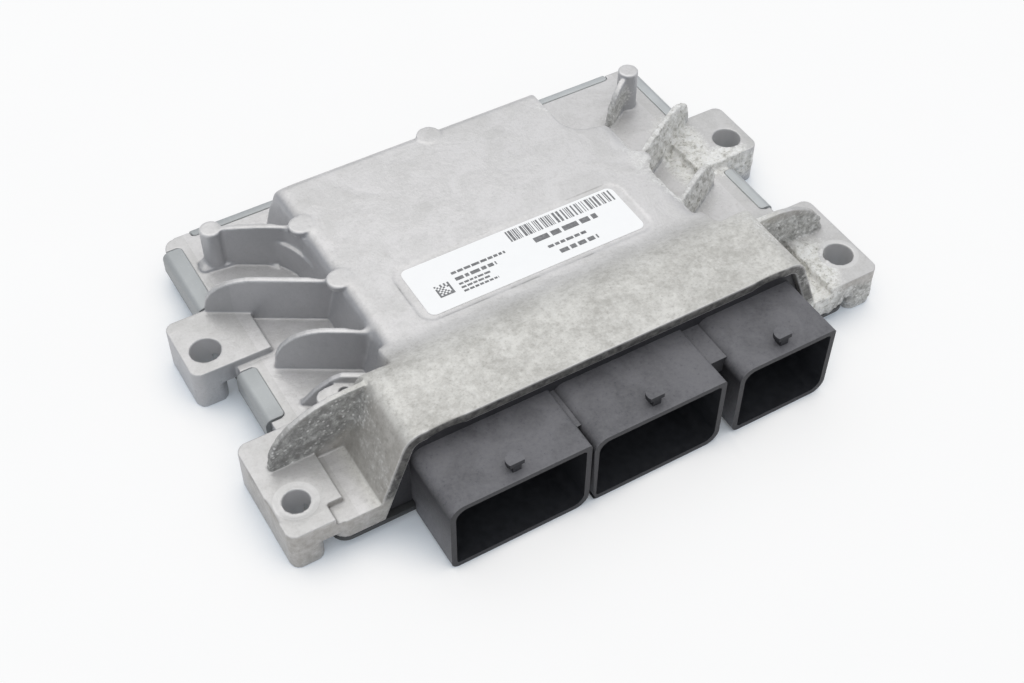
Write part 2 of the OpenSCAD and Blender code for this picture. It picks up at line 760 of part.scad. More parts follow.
// Chip with gull-wing leads on two or four sides, standing on the board
module chip(w, d, h, leads_x, leads_y) {
    union() {
        box(-w / 2, w / 2, -d / 2, d / 2, lead_t, h);
        for (i = [0:leads_x - 1], s = [-1, 1]) {
            at = (i - (leads_x - 1) / 2) * (w - 2) / max(leads_x - 1, 1);
            box(at - lead_w / 2, at + lead_w / 2, min(s * (d / 2 - 1), s * (d / 2 + lead_out)),
                max(s * (d / 2 - 1), s * (d / 2 + lead_out)), 0, lead_t + 0.1);
        }
        for (i = [0:leads_y - 1], s = [-1, 1]) {
            at = (i - (leads_y - 1) / 2) * (d - 2) / max(leads_y - 1, 1);
            box(min(s * (w / 2 - 1), s * (w / 2 + lead_out)), max(s * (w / 2 - 1), s * (w / 2 + lead_out)),
                at - lead_w / 2, at + lead_w / 2, 0, lead_t + 0.1);
        }
    }
}

// Moves a part to its place on the board, counted in cells
module at_cell(i, j) {
    translate([i * cell, rows_y + j * cell, board_top]) children();
}

// Power transistor in a flat package with its cooling tab on the board
module power_package() {
    box(-pack_w / 2, pack_w / 2, -pack_d / 2, pack_d / 2, 1, pack_h);
    box(-pack_w / 2, pack_w / 2, -pack_d / 2, pack_d / 2 + pack_tab, 0, pack_tab);
    for (x = [-pack_w / 4, pack_w / 4])
        box(x - lead_w, x + lead_w, -pack_d / 2 - pack_leg, -pack_d / 2 + lead_w, 0, pack_tab - 0.1);
}

module microcontroller() { color(chip_black) at_cell(-3.5, -3) chip(mcu_w, mcu_w, chip_h, 18, 18); }
module memory_chip() { color(chip_black) at_cell(4, -2.2) chip(memory_w, memory_d, thin_chip_h, 0, 7); }
module injector_driver() { color(chip_black) at_cell(-5.5, 2.2) chip(driver_w, driver_d, chip_h, 0, 9); }
module throttle_driver() { color(chip_black) at_cell(6.6, -6.4) chip(driver_w, driver_d, chip_h, 0, 9); }
module bus_transceiver() { color(chip_black) at_cell(1.5, -7) chip(bus_w, bus_d, thin_chip_h, 4, 0); }

module ignition_transistors() {
    color(chip_black) for (i = [0:2]) at_cell(-9.4 + i * 3.2, power_row) power_package();
}
module voltage_regulator() { color(chip_black) at_cell(7.2, -2.2) power_package(); }

module bulk_capacitors() {
    color("#8a8d92") for (i = [0:1]) at_cell(2 + i * 3.5, 4.2) {
        cylinder(d = can_d, h = can_h);
        box(-can_base / 2, can_base / 2, -can_base / 2, can_base / 2, 0, pack_tab);
    }
}

module power_inductor() {
    color("#4a4a4c") at_cell(7.7, 0.9) {
        cylinder(d = coil_d, h = coil_h);
        box(-coil_base / 2, coil_base / 2, -coil_base / 2, coil_base / 2, 0, thin_chip_h);
    }
}

module crystal() {
    color("silver") at_cell(-9, -2) {
        translate([0, 0, lead_t]) linear_extrude(crystal_h)
            rounded_rect(-crystal_w / 2, crystal_w / 2, -crystal_l / 2, crystal_l / 2, crystal_w / 2 - 0.1);
        box(-lead_w, lead_w, -crystal_l / 3, crystal_l / 3, 0, lead_w);
    }
}

// Row of n small two-ended parts of height h
module chip_row(n, h) {
    for (i = [0:n - 1])
        box(i * small_pitch, i * small_pitch + small_w, -small_l / 2, small_l / 2, 0, h);
}
module chip_capacitors() {
    color("#b9a27c") {
        at_cell(-6.5, -7.2) chip_row(9, chip_cap_h);
        at_cell(-6.5, 0.62) chip_row(9, chip_cap_h);
        at_cell(-10, small_row) chip_row(27, chip_cap_h);
    }
}
module chip_resistors() {
    color("#26262a") {
        at_cell(-6.5, -8.2) chip_row(9, chip_res_h);
        at_cell(2, -8.4) chip_row(11, chip_res_h);
        at_cell(1, 1.7) chip_row(6, chip_res_h);
    }
}

// Gap pads under the power parts, between the board and the base plate
module thermal_pads() {
    color("#9fb3c4")
    for (p = [[-9.4, power_row], [-6.2, power_row], [-3, power_row], [-5.5, 2.2], [6.6, -6.4]])
        translate([0, 0, plate_top - board_top]) at_cell(p.x, p.y)
            box(-pad_side / 2, pad_side / 2, -pad_side / 2, pad_side / 2, 0, board_z - plate_top);
}

cover();
base_plate();
connector_header();
header_seal();
flange_sealant();
label();
left_pins();
middle_pins();
right_pins();
circuit_board();
thermal_pads();
microcontroller();
memory_chip();
injector_driver();
throttle_driver();
ignition_transistors();
voltage_regulator();
bulk_capacitors();
power_inductor();
crystal();
bus_transceiver();
chip_capacitors();
chip_resistors();
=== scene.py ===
import bpy
import bmesh
import json
import math
import random
import numpy as np
from mathutils import Matrix, Vector, noise

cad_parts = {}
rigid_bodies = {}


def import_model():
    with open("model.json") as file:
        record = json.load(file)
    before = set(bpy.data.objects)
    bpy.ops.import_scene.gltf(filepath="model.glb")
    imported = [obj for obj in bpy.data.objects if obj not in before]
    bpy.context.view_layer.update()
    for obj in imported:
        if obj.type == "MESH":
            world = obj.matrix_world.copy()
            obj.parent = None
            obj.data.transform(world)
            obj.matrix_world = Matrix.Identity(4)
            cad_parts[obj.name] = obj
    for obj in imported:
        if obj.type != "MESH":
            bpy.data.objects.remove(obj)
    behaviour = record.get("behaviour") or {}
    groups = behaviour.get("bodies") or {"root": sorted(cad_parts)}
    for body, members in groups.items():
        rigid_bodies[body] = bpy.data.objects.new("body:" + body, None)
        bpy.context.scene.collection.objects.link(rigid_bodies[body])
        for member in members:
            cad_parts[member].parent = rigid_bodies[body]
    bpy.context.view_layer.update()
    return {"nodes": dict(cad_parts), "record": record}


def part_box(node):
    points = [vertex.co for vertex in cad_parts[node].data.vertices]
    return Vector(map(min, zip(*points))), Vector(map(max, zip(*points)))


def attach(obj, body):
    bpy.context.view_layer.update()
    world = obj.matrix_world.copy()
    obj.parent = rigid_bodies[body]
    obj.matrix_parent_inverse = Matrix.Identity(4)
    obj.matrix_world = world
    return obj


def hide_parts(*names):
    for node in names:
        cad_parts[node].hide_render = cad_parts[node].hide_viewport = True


for leftover in list(bpy.data.objects):
    bpy.data.objects.remove(leftover)

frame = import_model()

# Base plate: a pressed aluminium sheet that closes the cover from below.
# Its edge tabs stand up beside the cover's flange, and their folds are crimped down into the seats on top of it
# and pressed on to the seats' ends.
MM = 0.001
scene = bpy.context.scene
weld_reach = 0.002 * MM
flat_angle = math.radians(0.6)
sharp_angle = math.radians(34)
plate_edge = 0.2 * MM
fold_low = 9.45 * MM
fold_press = 0.45 * MM
side_fold_ends = (2.6 * MM, 5.5 * MM)
back_fold_ends = (1.85 * MM, 3.3 * MM)
plate_colour = (0.56, 0.578, 0.578, 1)
plate_side_shade = (0.31, 0.322, 0.328, 1)
plate_dull = (0.37, 0.384, 0.386, 1)
plate_spot = (0.56, 0.57, 0.56, 1)
plate_foot_shade = (0.035, 0.036, 0.038, 1)


def new_finish(name):
    """A material with its node tree and its shader."""
    material = bpy.data.materials.new(name)
    material.use_nodes = True
    return material, material.node_tree, material.node_tree.nodes["Principled BSDF"]


def add(tree, kind, sockets=None, **settings):
    """A shader node with its settings, and its sockets set or linked."""
    made = tree.nodes.new("ShaderNode" + kind)
    for name, value in settings.items():
        setattr(made, name, value)
    for name, value in (sockets or {}).items():
        if isinstance(value, bpy.types.NodeSocket):
            tree.links.new(value, made.inputs[name])
        else:
            made.inputs[name].default_value = value
    return made


def place(tree):
    """The point on the unit, in millimetres."""
    old = tree.nodes.get("place")
    if old:
        return old.outputs[0]
    where = add(tree, "TexCoord").outputs["Object"]
    made = add(tree, "VectorMath", {0: where, "Scale": 1000.0}, operation="SCALE", name="place")
    return made.outputs[0]


def cloud(tree, per_mm, detail=4.0, rough=0.55, warp=0.0):
    """Soft noise with about per_mm lumps in a millimetre."""
    return add(tree, "TexNoise", {"Vector": place(tree), "Scale": per_mm, "Detail": detail,
                                  "Roughness": rough, "Distortion": warp}).outputs["Fac"]


def ramp(tree, value, *stops):
    """Colours or greys along a value."""
    made = add(tree, "ValToRGB", {"Fac": value})
    band = made.color_ramp.elements
    while len(band) < len(stops):
        band.new(0.5)
    for step, (at, colour) in zip(band, stops):
        step.position = at
        step.color = colour if isinstance(colour, tuple) else (colour, colour, colour, 1)
    return made.outputs["Color"]


def mixed(tree, factor, a, b):
    """Colour a turning into colour b as factor goes to 1."""
    return add(tree, "Mix", {0: factor, 6: a, 7: b}, data_type="RGBA").outputs[2]


def maths(tree, operation, a, b=0.0, clamp=False):
    """A sum, difference or other simple working of two values."""
    return add(tree, "Math", {0: a, 1: b}, operation=operation, use_clamp=clamp).outputs[0]


def times(tree, *values):
    """The product of some values."""
    product = values[0]
    for value in values[1:]:
        product = maths(tree, "MULTIPLY", product, value)
    return product


def along(tree, vector, axis):
    """A point's or direction's share along X, Y or Z."""
    return add(tree, "SeparateXYZ", {0: vector}).outputs[axis]


def dress(tree, shader, colour, roughness, metallic=0.0, specular=0.5):
    """Gives the shader its colour, roughness, metal share and shine, each a plain number or a linked value."""
    for name, value in (("Base Color", colour), ("Roughness", roughness), ("Metallic", metallic),
                        ("Specular IOR Level", specular)):
        if isinstance(value, bpy.types.NodeSocket):
            tree.links.new(value, shader.inputs[name])
        else:
            shader.inputs[name].default_value = value


def relief(tree, shader, *layers):
    """Stacks bump layers of (height value, depth in mm) on the shader."""
    normal = None
    for height, depth in layers:
        sockets = {"Height": height, "Distance": depth * MM, "Strength": 1.0}
        if normal is not None:
            sockets["Normal"] = normal
        normal = add(tree, "Bump", sockets).outputs["Normal"]
    tree.links.new(normal, shader.inputs["Normal"])


def welded(node):
    """A copy of a solid's mesh with its corners joined and its flat faces whole."""
    mesh = frame["nodes"][node].data.copy()
    work = bmesh.new()
    work.from_mesh(mesh)
    bmesh.ops.remove_doubles(work, verts=work.verts[:], dist=weld_reach)
    bmesh.ops.dissolve_limit(work, angle_limit=flat_angle, verts=work.verts[:], edges=work.edges[:])
    for face in work.faces:
        face.smooth = True
    work.to_mesh(mesh)
    work.free()
    mesh.materials.clear()
    return mesh


def put(name, mesh, material, node):
    """Adds a piece that stands for a solid and wears a finish."""
    piece = bpy.data.objects.new(name, mesh)
    scene.collection.objects.link(piece)
    mesh.materials.append(material)
    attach(piece, "root")
    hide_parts(node)
    return piece


def round_edges(piece, width, steps=2):
    """Breaks a piece's sharp edges with a small round."""
    edge = piece.modifiers.new("broken edge", "BEVEL")
    edge.width = width
    edge.segments = steps
    edge.limit_method = "ANGLE"
    edge.angle_limit = sharp_angle
    edge.miter_outer = "MITER_ARC"
    even = piece.modifiers.new("even shading", "WEIGHTED_NORMAL")
    even.keep_sharp = True


sheet_finish, tree, shader = new_finish("rolled_sheet")
haze = cloud(tree, 0.06, 5.0, 0.6)
drawn_out = add(tree, "VectorMath", {0: place(tree), 1: (0.12, 3.0, 3.0)}, operation="MULTIPLY").outputs[0]
rolled = add(tree, "TexNoise", {"Vector": drawn_out, "Scale": 1.0, "Detail": 3.0}).outputs["Fac"]
spots = ramp(tree, cloud(tree, 0.9, 3.0, 0.7), (0.60, 0.0), (0.72, 1.0))
normal = add(tree, "NewGeometry").outputs["Normal"]
facing = along(tree, normal, "Z")
outward = add(tree, "VectorMath", {0: normal, 1: place(tree)}, operation="DOT_PRODUCT").outputs["Value"]
outward = ramp(tree, times(tree, outward, 0.01), (0.05, 0.0), (0.35, 1.0))
# Painted shade: upright faces that look outward are painted darker, so the sheet's tops stand out lighter
upright = times(tree, ramp(tree, facing, (0.2, 1.0), (0.7, 0.0)), outward)
tone = mixed(tree, upright, plate_colour, plate_side_shade)
tone = mixed(tree, ramp(tree, haze, (0.35, 0.0), (0.7, 0.5)), tone, plate_dull)
across = maths(tree, "ADD", times(tree, along(tree, place(tree), "X"), 0.004), 0.5)
tone = mixed(tree, ramp(tree, across, (0.12, 0.8), (0.5, 0.0)), tone, plate_dull)
tone = mixed(tree, times(tree, spots, 0.35), tone, plate_spot)
# Painted shade: the lowest few millimetres of the sheet, all but its underside, are painted near-black where it
# meets the floor
foot = ramp(tree, times(tree, along(tree, place(tree), "Z"), 0.1), (0.40, 0.9), (0.58, 0.0))
not_under = ramp(tree, maths(tree, "ADD", times(tree, facing, 0.5), 0.5), (0.08, 0.0), (0.3, 1.0))
tone = mixed(tree, times(tree, foot, not_under), tone, plate_foot_shade)
dress(tree, shader, tone, ramp(tree, haze, (0.3, 0.42), (0.7, 0.58)), metallic=0.5)
relief(tree, shader, (rolled, 0.02), (haze, 0.1))
base_mesh = welded("base_plate")
plate_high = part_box("base_plate")[1]

# The inner ends of the folds, pressed on to their seats
for vertex in base_mesh.vertices:
    if vertex.co.z <= fold_low:
        continue
    from_side = plate_high.x - abs(vertex.co.x)
    from_back = plate_high.y - vertex.co.y
    if side_fold_ends[0] < from_side < side_fold_ends[1] < from_back:
        vertex.co.x -= math.copysign(fold_press, vertex.co.x)
    elif back_fold_ends[0] < from_back < back_fold_ends[1]:
        vertex.co.y -= fold_press
base = put("base_plate_sheet", base_mesh, sheet_finish, "base_plate")
round_edges(base, plate_edge)

# Gap pads: soft blue-grey silicone pads under the power parts.
# They are pressed between the board and the base plate and lead the heat out.
pad_finish, tree, shader = new_finish("silicone_gap_pad")
grain = cloud(tree, 1.6, 3.0)
tone = ramp(tree, grain, (0.3, (0.30, 0.38, 0.45, 1)), (0.7, (0.40, 0.48, 0.55, 1)))
dress(tree, shader, tone, 0.8)
relief(tree, shader, (grain, 0.08))


def wear(nodes, material):
    """Gives solids that keep their own shape a finish."""
    for node in nodes:
        solid = frame["nodes"][node]
        if not solid.material_slots:
            solid.data.materials.append(material)
        for slot in solid.material_slots:
            slot.material = material


wear(["thermal_pads"], pad_finish)

# Circuit board: a glass-fibre laminate with green solder mask over copper tracks.
# It lies in the cover's rim and the flange holds its edge down.
board_green = (0.012, 0.085, 0.036, 1)
track_green = (0.022, 0.15, 0.062, 1)
laminate_finish, tree, shader = new_finish("solder_mask_laminate")
tracks = add(tree, "TexBrick", {"Vector": place(tree), "Color1": board_green, "Color2": track_green,
                                "Mortar": track_green, "Scale": 0.22, "Mortar Size": 0.03})
tone = mixed(tree, cloud(tree, 0.2, 2.0), tracks.outputs["Color"], board_green)
dress(tree, shader, tone, 0.38)
relief(tree, shader, (tracks.outputs["Fac"], 0.03), (cloud(tree, 2.5, 2.0), 0.01))
wear(["circuit_board"], laminate_finish)

# Chips and power packages: black moulded epoxy with tinned leads along the edges.
# They are soldered flat on the board under the plateau.
board_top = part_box("circuit_board")[1].z / MM
lead_height = 0.36
epoxy_finish, tree, shader = new_finish("moulded_epoxy")
lead = maths(tree, "LESS_THAN", along(tree, place(tree), "Z"), board_top + lead_height)
skin = cloud(tree, 3.0, 4.0, 0.7)
body_tone = ramp(tree, skin, (0.3, (0.014, 0.014, 0.016, 1)), (0.75, (0.035, 0.035, 0.038, 1)))
lead_tone = ramp(tree, skin, (0.3, (0.5, 0.5, 0.49, 1)), (0.7, (0.66, 0.66, 0.64, 1)))
matt = maths(tree, "SUBTRACT", 0.62, times(tree, lead, 0.3))
dress(tree, shader, mixed(tree, lead, body_tone, lead_tone), matt, metallic=lead)
relief(tree, shader, (skin, 0.03))
wear(["microcontroller", "memory_chip", "injector_driver", "throttle_driver", "ignition_transistors",
      "voltage_regulator", "bus_transceiver"], epoxy_finish)

# Cans: drawn aluminium capacitor cans on black bases, and the drawn steel can of the crystal.
# Each is soldered to the board by its two feet.
can_base = 0.24
can_finish, tree, shader = new_finish("drawn_can")
foot = maths(tree, "LESS_THAN", along(tree, place(tree), "Z"), board_top + can_base)
drawn = cloud(tree, 1.2, 4.0)
can_tone = ramp(tree, drawn, (0.3, (0.52, 0.52, 0.54, 1)), (0.7, (0.66, 0.66, 0.68, 1)))
tone = mixed(tree, foot, can_tone, (0.02, 0.02, 0.022, 1))
dress(tree, shader, tone, ramp(tree, drawn, (0.3, 0.25), (0.7, 0.4)), metallic=0.9)
relief(tree, shader, (drawn, 0.01))
wear(["bulk_capacitors", "crystal"], can_finish)

# Wound and pressed parts: the ferrite inductor and the chip resistors, matt and almost black.
# The chip capacitors are fired ceramic, tan in the middle with tinned ends.
ferrite_finish, tree, shader = new_finish("pressed_ferrite")
grain = cloud(tree, 2.4, 4.0, 0.7)
tone = ramp(tree, grain, (0.3, (0.05, 0.05, 0.052, 1)), (0.75, (0.11, 0.11, 0.115, 1)))
dress(tree, shader, tone, 0.7)
relief(tree, shader, (grain, 0.05))
wear(["power_inductor", "chip_resistors"], ferrite_finish)
ceramic_finish, tree, shader = new_finish("fired_chip_ceramic")
grain = cloud(tree, 1.5, 3.0)
tone = ramp(tree, grain, (0.3, (0.40, 0.29, 0.16, 1)), (0.75, (0.55, 0.42, 0.26, 1)))
dress(tree, shader, tone, 0.5)
relief(tree, shader, (grain, 0.02))
wear(["chip_capacitors"], ceramic_finish)

# Terminals: square plated pins, bent down to the board behind the header.
# The header's floor holds them, and each leg is soldered into the board.
pin_finish, tree, shader = new_finish("plated_pin")
plating = cloud(tree, 1.8, 3.0)
tone = ramp(tree, plating, (0.3, (0.40, 0.36, 0.26, 1)), (0.7, (0.55, 0.50, 0.36, 1)))
dress(tree, shader, tone, ramp(tree, plating, (0.3, 0.28), (0.7, 0.45)), metallic=0.9)
relief(tree, shader, (plating, 0.01))
wear(["left_pins", "middle_pins", "right_pins"], pin_finish)

# Plug header: one black glass-filled moulding with three open pockets and a latch stub on each.
# Its flange sits in the hood's mouth. Its upward faces are grey, partly from real fading and dust and partly as
# painted sheen; its end walls carry a painted light-to-shade gradient, and the pockets' inner faces stay black,
# unfaded and painted as shade.
header_edge = 0.4 * MM
pocket_rim = 2.5 * MM
foot_r = 1.0 * MM
soft_foot = 2.2
pocket_near = Vector((2.2, 7.0, 3.0)) * MM
header_black = (0.020, 0.020, 0.023, 1)
header_fade_and_sheen = (0.165, 0.163, 0.174, 1)
header_dust = (0.20, 0.197, 0.20, 1)
header_finish, tree, shader = new_finish("faded_black_moulding")
normal = add(tree, "NewGeometry").outputs["Normal"]
# Painted light and shade: the end walls are painted lighter grey at their foot and black higher up
end_wall = ramp(tree, maths(tree, "ABSOLUTE", along(tree, normal, "X")), (0.5, 0.0), (0.9, 1.0))
end_wall_foot_light = ramp(tree, times(tree, along(tree, place(tree), "Z"), 0.04), (0.2, 0.95), (0.8, 0.0))
end_wall_foot_light = times(tree, maths(tree, "SUBTRACT", end_wall_foot_light, 0.12), end_wall)
# Upward faces turn grey: partly real fading and dust, partly painted sheen from the light above
outside = maths(tree, "ADD", ramp(tree, along(tree, normal, "Z"), (0.0, 0.17), (0.75, 1.0)), end_wall_foot_light)
patches = cloud(tree, 0.09, 5.0, 0.62, 0.6)
speckle = cloud(tree, 1.1, 4.0, 0.7)
fade = times(tree, outside, ramp(tree, patches, (0.28, 0.55), (0.68, 1.1)))
tone = mixed(tree, fade, header_black, header_fade_and_sheen)
tone = mixed(tree, times(tree, ramp(tree, speckle, (0.40, 0.0), (0.78, 0.7)), fade), tone, header_dust)
tone = mixed(tree, ramp(tree, speckle, (0.24, 0.45), (0.40, 0.0)), tone, header_black)
dress(tree, shader, tone, ramp(tree, patches, (0.25, 0.46), (0.75, 0.62)), specular=0.3)
relief(tree, shader, (cloud(tree, 2.6, 3.0, 0.6), 0.03), (patches, 0.12))
header_mesh = welded("connector_header")
header = put("plug_header", header_mesh, header_finish, "connector_header")
# The pockets' inner faces: unfaded black, which also stands in as painted shade inside them
pocket_shade_finish, tree, shader = new_finish("unfaded_shaded_black_moulding")
sheen = cloud(tree, 0.5, 4.0, 0.6)
tone = ramp(tree, sheen, (0.3, (0.013, 0.014, 0.017, 1)), (0.75, (0.026, 0.028, 0.033, 1)))
dress(tree, shader, tone, ramp(tree, sheen, (0.3, 0.45), (0.75, 0.58)))
relief(tree, shader, (sheen, 0.04))
header_mesh.materials.append(pocket_shade_finish)

# Each pocket's lower outer corners get a larger round, and its inner faces get the plain black finish: unfaded, and
# painted as shade inside the pocket
for opening in frame["record"]["physics"]["openings"]:
    low, high = (Vector(corner) for corner in opening["box_m"])
    for corner_x in (low.x - pocket_rim, high.x + pocket_rim):
        corner = Vector((corner_x, 0, low.z - pocket_rim))
        for vertex in header_mesh.vertices:
            reach = vertex.co - corner
            if max(abs(reach.x), abs(reach.z)) < 1.02 * foot_r:
                vertex.co.x = corner.x + reach.x * soft_foot
                vertex.co.z = corner.z + reach.z * soft_foot
    for face in header_mesh.polygons:
        spot = face.center
        near = all(low[i] - pocket_near[i] < spot[i] < high[i] + pocket_near[i] for i in range(3))
        if near and face.normal.dot((low + high) / 2 - spot) > 0:
            face.material_index = 1
round_edges(header, header_edge)

# Seals: the black ring round the header's flange and the grey sealant bead in the cover's rim.
# Both are squeezed when the base plate is crimped on.
seal_finish, tree, shader = new_finish("moulded_seal")
grain = cloud(tree, 1.2, 4.0)
tone = ramp(tree, grain, (0.3, (0.035, 0.035, 0.038, 1)), (0.75, (0.08, 0.08, 0.085, 1)))
dress(tree, shader, tone, 0.75)
relief(tree, shader, (grain, 0.06))
wear(["header_seal"], seal_finish)
bead_finish, tree, shader = new_finish("cured_sealant")
grain = cloud(tree, 0.8, 4.0)
tone = ramp(tree, grain, (0.3, (0.12, 0.125, 0.13, 1)), (0.75, (0.22, 0.23, 0.24, 1)))
dress(tree, shader, tone, 0.65)
relief(tree, shader, (grain, 0.08))
wear(["flange_sealant"], bead_finish)

# Cover: a die-cast aluminium lid with lugs, ribs, plateau and hood in one piece.
# The casting skin is dull and mottled, its edges are soft and worn bright, and road salt has eaten the
# right-hand ribs, the lugs beside them and the front left rib.
voxel = 0.36 * MM
edge_passes = 3
melt_passes = 40
melt_share = 0.6
edge_rise = 0.06
blur_passes = 3
most_triangles = 190000
crust_height = 0.75
left_crust = 0.4
web_mid = (-73.9, 26.1)
web_r = 25.3
web_low = 19.0
web_top = 25.2
mound_low = 9.6
mound_step = 11.5
mound_top = 13.2

# The rough casting, with a web in the corner of the left rear rib and a low mound under the left post
cover_mesh = welded("cover")
work = bmesh.new()
work.from_mesh(cover_mesh)
arc = [math.radians(turn) for turn in range(6, 34, 3)]
web = [(web_mid[0] + web_r * math.cos(turn), web_mid[1] + web_r * math.sin(turn)) for turn in arc]
web += [(-48.2, 37.4), (-48.2, 28.6)]
mound_foot = [(-73.6, 51.9), (-71.0, 52.0), (-68.9, 49.9), (-61.5, 45.4),
              (-63.5, 46.0), (-67.4, 46.4), (-73.4, 47.2), (-74.2, 48.2)]
mound_crown = [(-71.5, 51.5), (-70.5, 51.5), (-68.9, 49.9), (-61.5, 45.6),
               (-63.0, 47.2), (-66.4, 48.6), (-71.4, 49.0), (-71.9, 49.6)]
for rings in ([(web_low, web), (web_top, web)],
              [(mound_low, mound_foot), (mound_step, mound_foot), (mound_top, mound_crown)]):
    loops = [[work.verts.new((x * MM, y * MM, z * MM)) for x, y in ring] for z, ring in rings]
    work.faces.new(loops[0][::-1])
    work.faces.new(loops[-1])
    for below, above in zip(loops, loops[1:]):
        for i in range(len(below)):
            work.faces.new([below[i - 1], below[i], above[i], above[i - 1]])
work.to_mesh(cover_mesh)
work.free()
cover_work = bpy.data.objects.new("cover_work", cover_mesh)
scene.collection.objects.link(cover_work)
skin = cover_work.modifiers.new("casting skin", "REMESH")
skin.mode = "VOXEL"
skin.voxel_size = voxel
soft = cover_work.modifiers.new("soft edges", "SMOOTH")
soft.factor = 0.5
soft.iterations = edge_passes


def finished(rough_piece):
    """The mesh that a rough piece's modifiers leave; the rough piece goes."""
    made = rough_piece.evaluated_get(bpy.context.evaluated_depsgraph_get())
    mesh = bpy.data.meshes.new_from_object(made)
    bpy.data.objects.remove(rough_piece)
    return mesh


cast = finished(cover_work)
cast.materials.clear()
points = np.empty((len(cast.vertices), 3))
cast.vertices.foreach_get("co", points.ravel())
points /= MM
normals = np.empty((len(cast.vertices), 3))
cast.vertices.foreach_get("normal", normals.ravel())

ends = np.empty((len(cast.edges), 2), int)
cast.edges.foreach_get("vertices", ends.ravel())
other_ends = ends[:, ::-1].ravel()
ends = ends.ravel()
near_count = np.bincount(ends, minlength=len(points))


def neighbours(values):
    """The mean of each point's neighbours on the casting."""
    total = [np.bincount(ends, column[other_ends], len(points)) for column in np.atleast_2d(values.T)]
    return (np.array(total) / near_count).T.reshape(values.shape)


# The plateau's long edges run softly into its walls, except at the round pads over the ribs,
# and the ring round the front left hole is soft too
pads = [(-47.7, 35.7), (-47.7, 12.1)]
pad_r = 4.0
plateau_edge_x = 48.3
plateau_wall_z = 20
seated_holes = [(-85.0, -37.2), (83.0, -37.2)]
seat_ring_r = 6.2
lug_top_z = 11
other_holes = [(-85.0, 19.0), (85.0, 19.0)]
from_edge = np.abs(np.abs(points[:, 0]) - plateau_edge_x)
melt = np.clip(1.35 - from_edge / 4.0, 0, 1) * np.clip((points[:, 2] - plateau_wall_z) / 3, 0, 1)
for x, y in pads:
    melt *= np.clip((np.hypot(points[:, 0] - x, points[:, 1] - y) - pad_r) / 1.2, 0, 1)
hole_x, hole_y = seated_holes[0]
from_ring = np.abs(np.hypot(points[:, 0] - hole_x, points[:, 1] - hole_y) - seat_ring_r)
melt = np.maximum(melt, np.clip(1.6 - from_ring, 0, 1) * (points[:, 2] > lug_top_z))
melt = melt_share * melt[:, None]
for _ in range(melt_passes):
    points += melt * (neighbours(points) - points)

# How far each point stands out from its neighbours: edges count up, corners down
stands_out = np.einsum("ij,ij->i", points - neighbours(points), normals) / edge_rise
for _ in range(blur_passes):
    stands_out = 0.5 * stands_out + 0.5 * neighbours(stands_out)

# Places that salt has eaten: [from, to, reach in mm, strength, whiteness of the crust, share on level faces]
eaten_places = [
    [(46, 11, 19.5), (80, 30, 19.5), 8.2, 1.0, 0.85, 1.0],
    [(46, -9, 19.5), (72, 6, 17.5), 7.8, 1.0, 0.80, 1.0],
    [(60, -26, 20), (85, -26, 15), 7.0, 1.0, 0.40, 0.4],
    [(69, 12, 11), (73, 31, 12), 8.0, 1.0, 1.0, 1.0],
    [(76, 12, 12), (88, 13, 7), 6.0, 0.95, 0.95, 1.0],
    [(69, -46, 10), (76, -33, 12), 8.0, 0.95, 1.0, 1.0],
    [(72, -48, 7), (88, -48, 4), 6.0, 0.95, 0.5, 1.0],
    [(58, -20, 27), (63, -46, 26), 8.0, 0.55, 0.9, 1.0],
    [(64, 48, 17), (58, 44, 13), 5.5, 0.85, 0.5, 0.6],
    [(34, 47, 26), (46, 30, 26), 4.0, 0.5, 0.9, 1.0],
    [(47, 24, 24), (48, -12, 24), 5.5, 0.75, 1.0, 0.7],
    [(-88, -26, 15.5), (-60, -26, 26), 8.5, 0.82, 0.1, 0.0],
    [(-64, -28, 24), (-66, -46, 16), 7.0, 0.4, 0.5, 1.0],
]
eaten = np.zeros(len(points))
for start, end, reach, strength, _, on_level in eaten_places:
    a, b = Vector(start), Vector(end)
    from_mid = points - np.array((a + b) / 2)
    lengthways = from_mid @ np.array((b - a).normalized())
    sideways = np.sqrt(np.maximum((from_mid ** 2).sum(axis=1) - lengthways ** 2, 0))
    away = np.hypot(lengthways / ((b - a).length / 2 + reach), sideways / reach)
    share = np.where(normals[:, 2] > 0.75, on_level, 1.0)
    eaten = np.maximum(eaten, share * strength * np.clip((1.25 - away) / 0.6, 0, 1))
for i in np.nonzero(eaten > 0.5)[0]:
    spot = Vector(points[i])
    lump = noise.fractal(spot * 0.45, 1.0, 2.0, 2) + 0.25 * noise.noise(spot * 1.3)
    tall = crust_height if spot.x > 0 else crust_height * left_crust
    points[i] += normals[i] * (2 * eaten[i] - 1) ** 2 * (tall * lump - 0.05)
cast.vertices.foreach_set("co", (points * MM).ravel())
cast.attributes.new("stands_out", "FLOAT", "POINT").data.foreach_set(
    "value", np.clip(stands_out, -1, 1).astype(np.float32))
cast.update()
cast_work = bpy.data.objects.new("cast_work", cast)
scene.collection.objects.link(cast_work)
thin = cast_work.modifiers.new("fewer faces", "DECIMATE")
thin.ratio = min(1.0, most_triangles / (2 * len(cast.polygons)))
cast = finished(cast_work)
for face in cast.polygons:
    face.use_smooth = True

